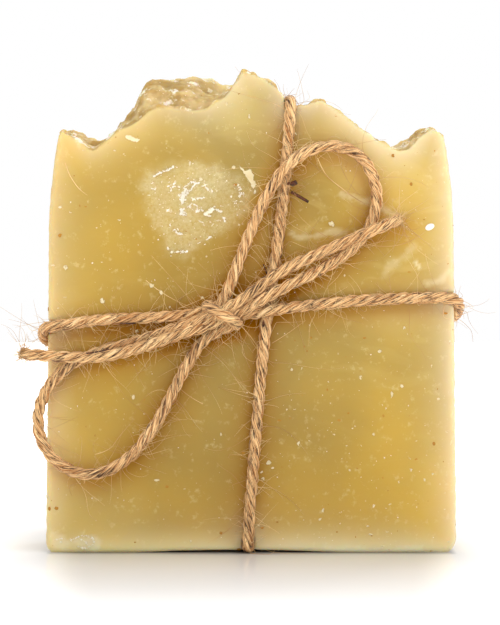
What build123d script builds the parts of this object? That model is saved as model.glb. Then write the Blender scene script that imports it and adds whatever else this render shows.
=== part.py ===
from build123d import *
from math import exp, radians, sqrt, tan
import os

# Hand-cut bar of soap with a rough spooned top, tied crosswise with one length of jute twine in a bow.
# Millimetres. The bar stands on its base at z = 0 with its cut front face towards -Y and +X to the right.

# Soap bar: one slice of a loaf
BAR_WIDTH = 68.0
BAR_HEIGHT = 79.8
BAR_THICKNESS = 25.0
SIDE_LEAN = 0.5
SHOULDER_HEIGHT = 52.0
SHOULDER_RADIUS = 90.0
BASE_CORNER_LEFT = 1.7
BASE_CORNER_RIGHT = 2.5
EDGE_EASE = 0.6
ARCH_FROM = -24.0
ARCH_TO = 20.0
ARCH_RISE = 0.6

# Twine: one length, laid round the bar both ways and tied at the front, with a many-sided section
TWINE_DIAMETER = 2.0
TWINE_SIDES = 7
SEAT_GAP = 0.2
GROOVE_CLEARANCE = 0.06
SIDE_BITE = 0.6
FLOOR_GAP = 0.05
EDGE_TURN = 2.2
TOP_CROSSING = 6.5
BASE_CROSSING = -0.5
NOTCH_DROP = 5.8

# Extra length that a cutting tool has past the solid it cuts
OVERRUN = 5.0

# Front edge of the spooned top, left of the twine's notch and right of it:
# share of half the width, drop below the highest peak
CREST_LEFT = (
    (-1.06, 8.6), (-0.93, 9.6), (-0.85, 11.3), (-0.78, 13.3), (-0.73, 12.3), (-0.67, 10.4),
    (-0.55, 8.4), (-0.49, 6.6), (-0.43, 6.2), (-0.31, 6.6), (-0.22, 6.3), (-0.15, 4.8),
    (-0.09, 2.7), (-0.04, 0.1), (0.01, 0.6), (0.06, 0.8), (0.12, 2.4),
)
CREST_RIGHT = (
    (0.25, 5.7), (0.30, 5.2), (0.34, 4.6), (0.38, 5.5), (0.52, 9.0), (0.65, 12.3),
    (0.72, 13.2), (0.775, 12.6), (0.82, 10.7), (0.88, 9.3), (0.93, 10.2), (1.06, 13.0),
)

# Lumps and hollows behind that edge: share of half the width, depth behind the front face, reach across,
# reach in depth, rise
LUMPS = (
    (-0.53, 9.0, 2.8, 4.6, 4.9),
    (-0.35, 9.0, 4.4, 4.6, 5.9),
    (-0.235, 16.0, 5.6, 4.0, 5.9),
    (-0.79, 11.0, 2.6, 5.5, 2.7),
    (0.78, 11.0, 2.4, 5.0, 2.4),
    (-0.55, 18.5, 3.6, 4.2, 1.8),
    (-0.01, 15.0, 3.2, 6.5, -1.8),
    (0.88, 18.0, 3.0, 4.5, -1.6),
)
SLICES = 8


def half_width(height):
    """Distance of a side from the middle at a height below the shoulder."""
    return BAR_WIDTH / 2 - SIDE_LEAN * height / SHOULDER_HEIGHT


TWINE_RADIUS = TWINE_DIAMETER / 2
ON_FACE = TWINE_RADIUS + SEAT_GAP
FACE_LINE = BAR_THICKNESS / 2 + ON_FACE
TOP_LINE = BAR_HEIGHT - NOTCH_DROP + ON_FACE
BASE_LINE = TWINE_RADIUS + FLOOR_GAP
NOTCH_SHARE = TOP_CROSSING / (BAR_WIDTH / 2)


def bar_outline():
    """Front outline of the slice up past its top: leaning sides, drawn-in shoulders, rounded base corners."""
    ceiling = BAR_HEIGHT + OVERRUN
    rise = ceiling - SHOULDER_HEIGHT
    draw_in = SHOULDER_RADIUS - sqrt(SHOULDER_RADIUS**2 - rise**2)
    shoulder = half_width(SHOULDER_HEIGHT)
    with BuildSketch(Plane.XZ) as outline:
        with BuildLine():
            Polyline(
                (-shoulder, SHOULDER_HEIGHT),
                (-BAR_WIDTH / 2, 0),
                (BAR_WIDTH / 2, 0),
                (shoulder, SHOULDER_HEIGHT),
            )
            TangentArc((shoulder, SHOULDER_HEIGHT), (shoulder - draw_in, ceiling), tangent=(0, 1))
            Line((shoulder - draw_in, ceiling), (draw_in - shoulder, ceiling))
            TangentArc((-shoulder, SHOULDER_HEIGHT), (draw_in - shoulder, ceiling), tangent=(0, 1))
        make_face()
        fillet(outline.vertices().group_by(Axis.Y)[0].sort_by(Axis.X)[0], BASE_CORNER_LEFT)
        fillet(outline.vertices().group_by(Axis.Y)[0].sort_by(Axis.X)[-1], BASE_CORNER_RIGHT)
    return outline.sketch


def crest_height(share, depth, drop):
    """Height of the top at a place across and behind the front face: front edge's drop, with the lumps."""
    across = share * BAR_WIDTH / 2
    height = BAR_HEIGHT - drop
    for lump_share, lump_depth, reach_across, reach_depth, rise in LUMPS:
        off_across = (across - lump_share * BAR_WIDTH / 2) / reach_across
        off_depth = (depth - lump_depth) / reach_depth
        height += rise * exp(-(off_across**2) - off_depth**2)
    return height


def top_slice(depth):
    """Section of the loaf at a depth behind the front face, from below the base up to its broken top line."""
    crest = CREST_LEFT + ((NOTCH_SHARE, NOTCH_DROP),) + CREST_RIGHT
    y = depth - BAR_THICKNESS / 2
    top = [(share * BAR_WIDTH / 2, y, crest_height(share, depth, drop)) for share, drop in crest]
    foot = -OVERRUN
    rest = Polyline(top[-1], (top[-1][0], y, foot), (top[0][0], y, foot), top[0])
    return Face(Wire(Polyline(*top).edges() + rest.edges()))


def rough_loaf():
    """Stretch of loaf with the spooned top in rough facets, longer and wider than the bar."""
    step = (BAR_THICKNESS + 2 * OVERRUN) / (SLICES - 1)
    return loft([top_slice(i * step - OVERRUN) for i in range(SLICES)], ruled=True)


def base_arch():
    """Shallow hollow that the base has between its two feet."""
    middle = (ARCH_FROM + ARCH_TO) / 2
    with BuildSketch(Plane.XZ) as hollow:
        with BuildLine():
            ThreePointArc((ARCH_FROM, 0), (middle, ARCH_RISE), (ARCH_TO, 0))
            Polyline((ARCH_TO, 0), (ARCH_TO, -OVERRUN), (ARCH_FROM, -OVERRUN), (ARCH_FROM, 0))
        make_face()
    return extrude(hollow.sketch, BAR_THICKNESS, both=True)


def on_front(x, z, off):
    """Place in front of the front face, by its distance off that face."""
    return (x, -BAR_THICKNESS / 2 - off, z)


def on_back(x, z, off):
    """Place behind the back face, by its distance off that face."""
    return (x, BAR_THICKNESS / 2 + off, z)


def round_side(side, front_height, back_height):
    """Points round the two edges of a side, front to back: -1 is the left side and 1 the right."""
    line = half_width(front_height) + TWINE_RADIUS - SIDE_BITE
    ease = EDGE_TURN * (front_height - back_height) / (2 * FACE_LINE)
    return [
        (side * (line - EDGE_TURN), -FACE_LINE, front_height),
        (side * line, EDGE_TURN - FACE_LINE, front_height - ease),
        (side * line, FACE_LINE - EDGE_TURN, back_height + ease),
        (side * (line - EDGE_TURN), FACE_LINE, back_height),
    ]


def round_end(x, line, inward):
    """Points round the two edges of the base, with inward 1, or of the top, with inward -1, front to back."""
    return [
        (x, -FACE_LINE, line + inward * EDGE_TURN),
        (x, EDGE_TURN - FACE_LINE, line),
        (x, FACE_LINE - EDGE_TURN, line),
        (x, FACE_LINE, line + inward * EDGE_TURN),
    ]


LEFT_SIDE = round_side(-1, 37.5, 34.5)
RIGHT_SIDE = round_side(1, 42.2, 38.4)
TOP_END = round_end(TOP_CROSSING, TOP_LINE, -1)
BASE_END = round_end(BASE_CROSSING, BASE_LINE, 1)

# Behind the bar the two halves of the twine hook round each other: each turns a corner inside the other's,
# over the other's strand at one crossing and under it at the next
HOOK_X = 2.0
HOOK_Z = 36.5
HOOK_REACH = 2.4
HOOK_ROOM = 0.6
HOOK_LEFT = HOOK_X - HOOK_REACH
HOOK_RIGHT = HOOK_X + HOOK_REACH
HOOK_LOW = HOOK_Z - HOOK_REACH
HOOK_HIGH = HOOK_Z + HOOK_REACH
HOOK_OVER = ON_FACE + TWINE_DIAMETER + HOOK_ROOM
HOOK_BEND = (ON_FACE + HOOK_OVER) / 2

# Route of the twine from the left tail's end to the right tail's: across, up, and distance off the face
ROUTE = [
    # left tail, to the knot
    on_front(-37.7, 32.9, 2.8),
    on_front(-31.4, 32.3, 3.3),
    on_front(-24.4, 32.3, 3.7),
    on_front(-18.0, 33.9, 3.8),
    on_front(-12.8, 35.6, 3.9),
    # lowest of the three strands inside the knot's band
    on_front(-8.0, 36.3, 3.8),
    on_front(-3.2, 37.7, 3.6),
    on_front(1.0, 41.5, 5.0),
    # right loop, lower strand first, under the right tail
    on_front(5.6, 43.9, 4.1),
    on_front(11.0, 46.4, 2.5),
    on_front(16.8, 50.0, 1.5),
    on_front(20.4, 54.9, 1.7),
    on_front(21.3, 61.0, 2.5),
    on_front(18.4, 66.6, 3.0),
    on_front(12.2, 68.2, 3.1),
    on_front(6.4, 65.2, 3.6),
    on_front(2.6, 59.2, 3.9),
    on_front(-1.0, 51.0, 3.2),
    # highest strand inside the band
    on_front(-4.0, 43.6, 3.4),
    on_front(-6.7, 41.4, 3.5),
    # level strand to the left edge, round that side to the back
    on_front(-10.6, 39.7, 1.9),
    on_front(-15.5, 38.75, ON_FACE),
    on_front(-24.0, 38.6, ON_FACE),
    *LEFT_SIDE,
    # upper corner of the hook, then up the back, over the top and down the front
    on_back(HOOK_LEFT, HOOK_LOW, ON_FACE),
    on_back(HOOK_RIGHT, HOOK_LOW, HOOK_BEND),
    on_back(HOOK_RIGHT, HOOK_HIGH, HOOK_OVER),
    *reversed(TOP_END),
    on_front(4.8, 53.0, ON_FACE),
    on_front(2.5, 39.6, ON_FACE),
    on_front(0.9, 21.5, ON_FACE),
    # under the base, up the back, lower corner of the hook, then round the right side
    *BASE_END,
    on_back(HOOK_LEFT, HOOK_LOW, HOOK_OVER),
    on_back(HOOK_LEFT, HOOK_HIGH, HOOK_BEND),
    on_back(HOOK_RIGHT, HOOK_HIGH, ON_FACE),
    *reversed(RIGHT_SIDE),
    # level strand from the right edge, over the upright strand
    on_front(19.3, 41.8, ON_FACE),
    on_front(9.0, 40.8, 1.3),
    on_front(4.4, 40.3, 3.4),
    on_front(1.6, 39.8, 3.3),
    # band of the knot: behind the three strands, round their top, down across them and behind again
    on_front(-1.6, 39.5, 1.3),
    on_front(-4.9, 40.9, 1.15),
    on_front(-7.9, 42.9, 1.2),
    on_front(-9.3, 43.6, 3.5),
    on_front(-8.2, 42.5, 6.0),
    on_front(-1.6, 37.3, 6.0),
    on_front(-0.4, 36.1, 3.6),
    on_front(-1.9, 35.7, 1.2),
    on_front(-6.4, 35.9, 1.2),
    # left loop, lower strand first, back behind the left tail
    on_front(-9.7, 33.2, 1.4),
    on_front(-12.4, 27.8, 1.8),
    on_front(-15.6, 21.2, 2.3),
    on_front(-20.2, 15.2, 2.7),
    on_front(-26.6, 12.4, 3.0),
    on_front(-32.8, 15.2, 2.9),
    on_front(-35.5, 21.0, 2.6),
    on_front(-34.0, 27.2, 2.0),
    on_front(-29.6, 31.4, 1.35),
    on_front(-24.2, 33.5, 1.25),
    on_front(-18.6, 34.9, 1.4),
    on_front(-13.0, 36.9, 1.9),
    # middle strand inside the band
    on_front(-8.6, 38.2, 3.2),
    on_front(-4.4, 40.0, 3.6),
    on_front(-0.6, 43.4, 4.0),
    # right tail, over the right loop
    on_front(4.6, 46.5, 3.9),
    on_front(11.2, 49.4, 3.2),
    on_front(18.0, 52.3, 3.9),
    on_front(24.4, 55.0, 3.2),
]

# Share of the shorter run beside a point that its arc takes up
ARC_SHARE = 0.45


def arc_radii(points):
    """Radius at each inner point: as large as its two runs allow."""
    radii = []
    for before, here, after in zip(points, points[1:], points[2:]):
        run_in = Vector(here) - Vector(before)
        run_out = Vector(after) - Vector(here)
        half_turn = radians(run_in.get_angle(run_out)) / 2
        radii.append(ARC_SHARE * min(run_in.length, run_out.length) / tan(half_turn))
    return radii


def tube(points, section):
    """Tube of a section along straight runs joined by tangent arcs, and the length of its path."""
    path = FilletPolyline(*points, radius=arc_radii(points))
    start = Plane(origin=path @ 0, z_dir=path % 0)
    return sweep(start * section, path=path), path.length


def pressed_groove(points, lead_in, lead_out):
    """Groove that the tight twine presses into two edges, with a short way in and out along the faces."""
    section = RegularPolygon(TWINE_RADIUS + GROOVE_CLEARANCE, TWINE_SIDES, major_radius=False)
    groove, _ = tube([lead_in, *points, lead_out], section)
    return groove


def run_on(point, x_step, z_step):
    """Point further along a face from another."""
    x, y, z = point
    return (x + x_step, y, z + z_step)


def soap_bar():
    """The slice: prism of its outline, trimmed by the rough top, arched below and grooved by the twine."""
    slab = extrude(bar_outline(), BAR_THICKNESS / 2, both=True)
    faces = slab.faces().sort_by(Axis.Y)
    slab = chamfer(faces[0].edges() + faces[-1].edges(), EDGE_EASE)
    bar = (slab & rough_loaf()) - base_arch()
    lead = 2 * EDGE_TURN
    for points, x_step, z_step in (
        (LEFT_SIDE, lead, 0),
        (RIGHT_SIDE, -lead, 0),
        (TOP_END, 0, -lead),
        (BASE_END, 0, lead),
    ):
        bar -= pressed_groove(points, run_on(points[0], x_step, z_step), run_on(points[-1], x_step, z_step))
    return bar


def jute_twine():
    """The whole length of twine as one plain tube."""
    section = RegularPolygon(TWINE_RADIUS, TWINE_SIDES)
    twine, length = tube(ROUTE, section)
    filled = twine.volume / (section.area * length)
    print(f"twine length {length:.1f}, volume over section times length {filled:.4f}")
    print("twine radii", " ".join(f"{radius:.1f}" for radius in arc_radii(ROUTE)))
    return twine


os.makedirs("parts", exist_ok=True)
export_step(soap_bar(), "parts/soap_bar.step")
export_step(jute_twine(), "parts/jute_twine.step")
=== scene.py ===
# Looks of a hand-cut bar of soap with a spooned top, tied with jute twine in a bow.
# Metres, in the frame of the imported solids: front face towards -Y, +X to the right, base at z = 0.
import math
from functools import partial

import bmesh
import bpy
from mathutils import Euler, Matrix, Vector, kdtree, noise
from mathutils.geometry import intersect_point_line


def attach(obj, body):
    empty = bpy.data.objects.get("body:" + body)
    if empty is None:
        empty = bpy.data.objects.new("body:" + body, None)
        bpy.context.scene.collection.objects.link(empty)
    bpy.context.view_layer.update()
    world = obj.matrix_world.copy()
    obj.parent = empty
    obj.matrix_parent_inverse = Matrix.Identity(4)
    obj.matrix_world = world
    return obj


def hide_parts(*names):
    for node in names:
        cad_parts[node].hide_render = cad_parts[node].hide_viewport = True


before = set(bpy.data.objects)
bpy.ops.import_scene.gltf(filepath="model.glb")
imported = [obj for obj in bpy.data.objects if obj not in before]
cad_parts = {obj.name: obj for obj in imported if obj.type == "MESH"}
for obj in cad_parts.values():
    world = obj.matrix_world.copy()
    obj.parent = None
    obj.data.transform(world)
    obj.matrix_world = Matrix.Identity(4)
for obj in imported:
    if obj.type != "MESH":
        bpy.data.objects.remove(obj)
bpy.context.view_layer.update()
scene = bpy.context.scene

MM = 0.001
FACE = 12.5 * MM
TWINE_RADIUS = 1.0 * MM


def linear(code):
    """Linear RGBA of an sRGB hex colour."""
    channels = [int(code[i:i + 2], 16) / 255 for i in (1, 3, 5)]
    return (*[c / 12.92 if c <= 0.04045 else ((c + 0.055) / 1.055) ** 2.4 for c in channels], 1.0)


def socket_of(sockets, key):
    """Socket of that number, or the one in use with that name."""
    if isinstance(key, int):
        return sockets[key]
    return next(socket for socket in sockets if socket.enabled and socket.name == key)


def add_node(tree, kind, links=None, output=None, **settings):
    """Adds a node with its settings, and links or values for inputs by name or number. Gives an output."""
    node = tree.nodes.new(kind)
    for name, value in settings.items():
        setattr(node, name, value)
    for key, value in (links or {}).items():
        if isinstance(value, bpy.types.NodeSocket):
            tree.links.new(value, socket_of(node.inputs, key))
        else:
            socket_of(node.inputs, key).default_value = value
    if output is not None:
        return socket_of(node.outputs, output)
    return next((socket for socket in node.outputs if socket.enabled), None)


def empty_nodes(owner):
    """Clears the nodes of a material or world. Gives what adds nodes there."""
    owner.use_nodes = True
    owner.node_tree.nodes.clear()
    return partial(add_node, owner.node_tree)


def link_piece(name, mesh):
    """New object of the scene with its place in its mesh."""
    piece = bpy.data.objects.new(name, mesh)
    scene.collection.objects.link(piece)
    return piece


def plain_mesh(holder):
    """Mesh of what an object shows with its modifiers. The object itself goes."""
    scene.collection.objects.link(holder)
    graph = bpy.context.evaluated_depsgraph_get()
    mesh = bpy.data.meshes.new_from_object(
        holder.evaluated_get(graph), preserve_all_data_layers=True, depsgraph=graph
    )
    bpy.data.objects.remove(holder)
    return mesh


# Camera: level with the middle of the bar, straight on to its front face
VIEW_DISTANCE = 430 * MM
VIEW_HEIGHT = 103.25 * MM
VIEW_CENTRE = (-0.2 * MM, 39.67 * MM)
SENSOR = 36.0

camera_data = bpy.data.cameras.new("camera")
camera_data.sensor_width = SENSOR
camera_data.lens = SENSOR * VIEW_DISTANCE / VIEW_HEIGHT
camera_data.clip_start = 0.01
camera = bpy.data.objects.new("camera", camera_data)
camera.location = (VIEW_CENTRE[0], -FACE - VIEW_DISTANCE, VIEW_CENTRE[1])
camera.rotation_euler = (math.radians(90), 0, 0)
scene.collection.objects.link(camera)
scene.camera = camera
scene.view_settings.view_transform = "Standard"

# Studio: white all round, softboxes overhead to the right and behind, weaker ones in front and on the left
AMBIENT = 0.46
SOFTBOXES = (
    # name, place, width, watts
    ("overhead softbox", (0.22, -0.42, 0.80), 0.55, 4.0),
    ("front softbox", (0.10, -0.90, 0.16), 0.60, 2.4),
    ("left softbox", (-0.70, -0.50, 0.20), 0.70, 0.5),
    ("back softbox", (0.10, 0.70, 0.55), 0.60, 4.0),
)
AIM = Vector((0, 0, 0.04))


def white_world():
    """White all round: the backdrop that the camera sees, and a weaker light from it."""
    world = bpy.data.worlds.new("white studio")
    add = empty_nodes(world)
    seen = add("ShaderNodeLightPath", output="Is Camera Ray")
    strength = add("ShaderNodeMapRange", {"Value": seen, "To Min": AMBIENT, "To Max": 1.0})
    backdrop = add("ShaderNodeBackground", {"Color": linear("#FFFFFF"), "Strength": strength})
    add("ShaderNodeOutputWorld", {"Surface": backdrop})
    return world


scene.world = white_world()
for name, place, width, watts in SOFTBOXES:
    light_data = bpy.data.lights.new(name, "AREA")
    light_data.size = width
    light_data.energy = watts
    light = bpy.data.objects.new(name, light_data)
    light.location = place
    light.rotation_euler = (AIM - Vector(place)).to_track_quat("-Z", "Y").to_euler()
    scene.collection.objects.link(light)

# Floor: half its width, half the width of the bar's foot, and how far the painted contact shadow, the painted
# shade, the reflection and the painted glow reach
FLOOR_HALF = 3.0
FOOT_HALF = 33 * MM
CONTACT_SHADOW_REACH = 4 * MM
SHADE_REACH = 30 * MM
MIRROR_REACH = 80 * MM
GLOW_REACH = 300 * MM


def floor():
    """White acrylic sheet that the bar stands on, with a faint reflection, painted shade and a painted
    contact shadow round the bar's foot, and a painted glow away from it.
    """
    mesh = bpy.data.meshes.new("floor")
    corners = [(-FLOOR_HALF, -FLOOR_HALF, 0), (FLOOR_HALF, -FLOOR_HALF, 0)]
    corners += [(FLOOR_HALF, FLOOR_HALF, 0), (-FLOOR_HALF, FLOOR_HALF, 0)]
    mesh.from_pydata(corners, [], [(0, 1, 2, 3)])
    material = bpy.data.materials.new("white acrylic with painted shade and glow")
    add = empty_nodes(material)
    # distance ahead of or behind the bar, and aside from a line that draws in a little with it
    place = add("ShaderNodeTexCoord", output="Object")
    reach = add("ShaderNodeVectorMath", {0: place}, operation="ABSOLUTE")
    beyond = add("ShaderNodeVectorMath", {0: reach, 1: (FOOT_HALF, FACE, 0)}, operation="SUBTRACT")
    parts = add("ShaderNodeSeparateXYZ", {"Vector": beyond}).node.outputs
    ahead = add("ShaderNodeMath", {0: parts["Y"], 1: 0.0}, operation="MAXIMUM")
    aside = add("ShaderNodeMath", {0: ahead, 1: 0.08, 2: parts["X"]}, operation="MULTIPLY_ADD")
    # painted glow beside the bar's foot, added to the painted glow away from it
    aside = add(
        "ShaderNodeMapRange",
        {"Value": aside, "From Min": -6 * MM, "From Max": 4 * MM, "To Max": 0.3},
        interpolation_type="SMOOTHSTEP",
    )
    beyond = add("ShaderNodeVectorMath", {0: beyond, 1: (0, 0, 0)}, operation="MAXIMUM")
    # the painted shade hardly reaches beside the bar
    beyond = add("ShaderNodeVectorMath", {0: beyond, 1: (4.0, 1.0, 1.0)}, operation="MULTIPLY")
    away = add("ShaderNodeVectorMath", {0: beyond}, output="Value", operation="LENGTH")
    # painted shade: the sheet is greyer round the bar and darkest where it touches; away from it the sheet
    # glows, a painted light, up to the white behind it
    painted_shade_fade = add("ShaderNodeMapRange", {"Value": away, "From Max": SHADE_REACH})
    painted_contact_shadow = add("ShaderNodeMapRange", {"Value": away, "From Max": CONTACT_SHADOW_REACH})
    shade = add(
        "ShaderNodeMix",
        {"Factor": painted_shade_fade, "A": linear("#D4D1CC"), "B": linear("#F5F3F1")},
        data_type="RGBA",
    )
    shade = add("ShaderNodeMix", {"Factor": painted_contact_shadow, "A": linear("#948F88"), "B": shade}, data_type="RGBA")
    matt = add("ShaderNodeBsdfDiffuse", {"Color": shade})
    gloss = add("ShaderNodeBsdfGlossy", {"Color": linear("#FFFFFF"), "Roughness": 0.05})
    mirror = add(
        "ShaderNodeMapRange", {"Value": away, "From Max": MIRROR_REACH, "To Min": 0.34, "To Max": 0.0}
    )
    both = add("ShaderNodeMixShader", {0: mirror, 1: matt, 2: gloss})
    painted_glow = add("ShaderNodeMapRange", {"Value": away, "From Min": SHADE_REACH, "From Max": GLOW_REACH})
    painted_glow = add("ShaderNodeMath", {0: painted_glow, 1: aside}, operation="ADD")
    painted_glow_shader = add("ShaderNodeEmission", {"Color": linear("#FFFFFF"), "Strength": painted_glow})
    whole = add("ShaderNodeAddShader", {0: both, 1: painted_glow_shader})
    add("ShaderNodeOutputMaterial", {"Surface": whole})
    mesh.materials.append(material)
    return link_piece("floor", mesh)


floor()


# Route of the twine, the points of the solid: across, up, and distance off the front or back face, in mm
def on_front(x, z, off):
    return (x * MM, -FACE - off * MM, z * MM)


def on_back(x, z, off):
    return (x * MM, FACE + off * MM, z * MM)


def placed(points):
    return [tuple(value * MM for value in point) for point in points]


LEFT_SIDE = placed(
    [
        (-31.84, -13.7, 37.5), (-34.5, -12.4, 37.1), (-34.6, -6.0, 34.9), (-34.04, 11.5, 34.74),
        (-31.84, 13.7, 34.5),
    ]
)
RIGHT_SIDE = placed(
    [(31.79, -13.7, 42.2), (34.5, -12.4, 41.7), (34.6, -6.0, 39.3), (33.99, 11.5, 38.7), (31.79, 13.7, 38.4)]
)
TOP_END = placed([(6.5, -13.7, 73.0), (6.5, -11.5, 75.2), (6.5, 11.5, 75.2), (6.5, 13.7, 73.0)])
BASE_END = placed(
    [(-0.5, -14.2, 3.5), (-0.5, -14.9, 1.1), (-0.5, -11.5, 1.05), (-0.5, 11.5, 1.05), (-0.5, 13.7, 3.25)]
)

ROUTE = [
    # left tail, to the knot
    on_front(-37.7, 32.9, 2.8),
    on_front(-31.4, 32.3, 3.3),
    on_front(-24.4, 32.3, 3.7),
    on_front(-18.0, 33.9, 3.6),
    on_front(-12.8, 35.7, 3.6),
    # lowest of the three strands inside the knot's band
    on_front(-8.2, 37.2, 3.2),
    on_front(-4.2, 38.6, 2.9),
    on_front(0.2, 40.9, 3.6),
    # right loop, lower strand first, under the right tail
    on_front(5.0, 43.6, 4.3),
    on_front(11.0, 46.4, 2.5),
    on_front(16.8, 50.0, 1.5),
    on_front(20.4, 54.9, 1.7),
    on_front(20.8, 60.6, 2.5),
    on_front(18.2, 65.8, 3.0),
    on_front(12.2, 67.5, 3.1),
    on_front(6.3, 64.7, 3.6),
    on_front(2.6, 59.2, 3.9),
    on_front(-1.0, 51.0, 3.2),
    # highest strand inside the band
    on_front(-3.6, 43.6, 3.3),
    on_front(-5.2, 40.5, 3.0),
    # level strand to the left edge, round that side to the back
    on_front(-8.6, 39.5, 2.6),
    on_front(-12.0, 39.2, 1.7),
    on_front(-17.0, 38.75, 1.2),
    on_front(-24.0, 38.6, 1.2),
    *LEFT_SIDE,
    # upper corner of the hook, then up the back, over the top and down the front
    on_back(-0.4, 34.1, 1.2),
    on_back(4.4, 34.1, 2.5),
    on_back(4.4, 38.9, 3.8),
    *reversed(TOP_END),
    on_front(4.8, 53.0, 1.2),
    on_front(2.5, 39.6, 1.2),
    on_front(0.9, 21.5, 1.2),
    # under the base, up the back, lower corner of the hook, then round the right side
    *BASE_END,
    on_back(-0.4, 34.1, 3.8),
    on_back(-0.4, 38.9, 2.5),
    on_back(4.4, 38.9, 1.2),
    *reversed(RIGHT_SIDE),
    # level strand from the right edge, over the upright strand
    on_front(19.3, 41.8, 1.2),
    on_front(9.0, 40.8, 1.3),
    on_front(4.4, 40.2, 3.2),
    on_front(1.2, 39.5, 2.6),
    # band of the knot: behind the three strands, round their top, down across them and behind again
    on_front(-2.2, 39.4, 1.2),
    on_front(-5.2, 40.4, 1.1),
    on_front(-6.9, 40.8, 1.6),
    on_front(-7.3, 40.7, 4.0),
    on_front(-6.3, 40.2, 6.0),
    on_front(-3.3, 38.6, 6.0),
    on_front(-2.2, 37.9, 4.0),
    on_front(-2.6, 37.6, 1.6),
    on_front(-5.0, 37.0, 1.1),
    # left loop, lower strand first, back behind the left tail
    on_front(-8.6, 34.6, 1.4),
    on_front(-12.2, 28.0, 1.8),
    on_front(-15.6, 21.2, 2.3),
    on_front(-20.2, 15.2, 2.7),
    on_front(-26.6, 12.4, 3.0),
    on_front(-32.8, 15.2, 2.9),
    on_front(-35.5, 21.0, 2.6),
    on_front(-34.0, 27.2, 2.0),
    on_front(-29.6, 31.4, 1.35),
    on_front(-24.2, 33.5, 1.25),
    on_front(-18.6, 34.9, 1.4),
    on_front(-13.0, 36.9, 1.9),
    # middle strand inside the band
    on_front(-8.8, 38.3, 3.4),
    on_front(-5.0, 39.5, 4.4),
    on_front(-0.8, 42.2, 4.4),
    # right tail, over the right loop
    on_front(4.4, 46.3, 3.9),
    on_front(11.2, 49.4, 3.2),
    on_front(18.0, 52.3, 3.9),
    on_front(24.4, 55.0, 3.2),
]


def smooth_spline(curve, places):
    """Adds a smooth spline to a curve, with these places as its control points. Gives the points."""
    spline = curve.splines.new("NURBS")
    spline.points.add(len(places) - 1)
    for point, place in zip(spline.points, places):
        point.co = (*place, 1.0)
    spline.order_u = 3
    spline.use_endpoint_u = True
    return spline.points


def route_line():
    """Smooth line of the twine, as a mesh of points and edges read from its spline."""
    curve = bpy.data.curves.new("twine route", "CURVE")
    curve.dimensions = "3D"
    curve.resolution_u = 20
    smooth_spline(curve, ROUTE)
    return plain_mesh(bpy.data.objects.new("twine route", curve))


def geometry_tree(name, floats, ints):
    """Geometry tree with named inputs and a material, the sockets that give them, and what adds nodes."""
    tree = bpy.data.node_groups.new(name, "GeometryNodeTree")
    tree.interface.new_socket("Geometry", in_out="INPUT", socket_type="NodeSocketGeometry")
    for kind, labels in (("Float", floats), ("Int", ints), ("Material", ["Material"])):
        for label in labels:
            tree.interface.new_socket(label, in_out="INPUT", socket_type="NodeSocket" + kind)
    tree.interface.new_socket("Geometry", in_out="OUTPUT", socket_type="NodeSocketGeometry")
    return tree, tree.nodes.new("NodeGroupInput").outputs, partial(add_node, tree)


def grown_piece(name, base, tree, values):
    """Plain mesh piece of what a tree makes of a base mesh."""
    holder = bpy.data.objects.new(name, base)
    modifier = holder.modifiers.new(tree.name, "NODES")
    modifier.node_group = tree
    for item in tree.interface.items_tree:
        if item.in_out == "INPUT" and item.name in values:
            modifier[item.identifier] = values[item.name]
    mesh = plain_mesh(holder)
    mesh.name = name
    return link_piece(name, mesh)


def uneven_size(add, seed, power, smallest, largest):
    """Random size between two: the higher the power, the fewer are large."""
    chance = add("FunctionNodeRandomValue", {"Min": 0.0, "Max": 1.0, "Seed": seed}, data_type="FLOAT")
    rare = add("ShaderNodeMath", {0: chance, 1: power}, operation="POWER")
    return add("ShaderNodeMapRange", {"Value": rare, "To Min": smallest, "To Max": largest})


# Twine: three plies laid to the left, so that the grooves between them rise to the right on a level strand
PLIES = 3
PLY_RADIUS = 0.53 * MM
PLY_OFFSET = 0.47 * MM
LAY = 6.6 * MM
PLY_STEP = 0.42 * MM
# How far the patterns of one ply are shifted along from those of the next
PLY_SHIFT = 0.31


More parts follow.
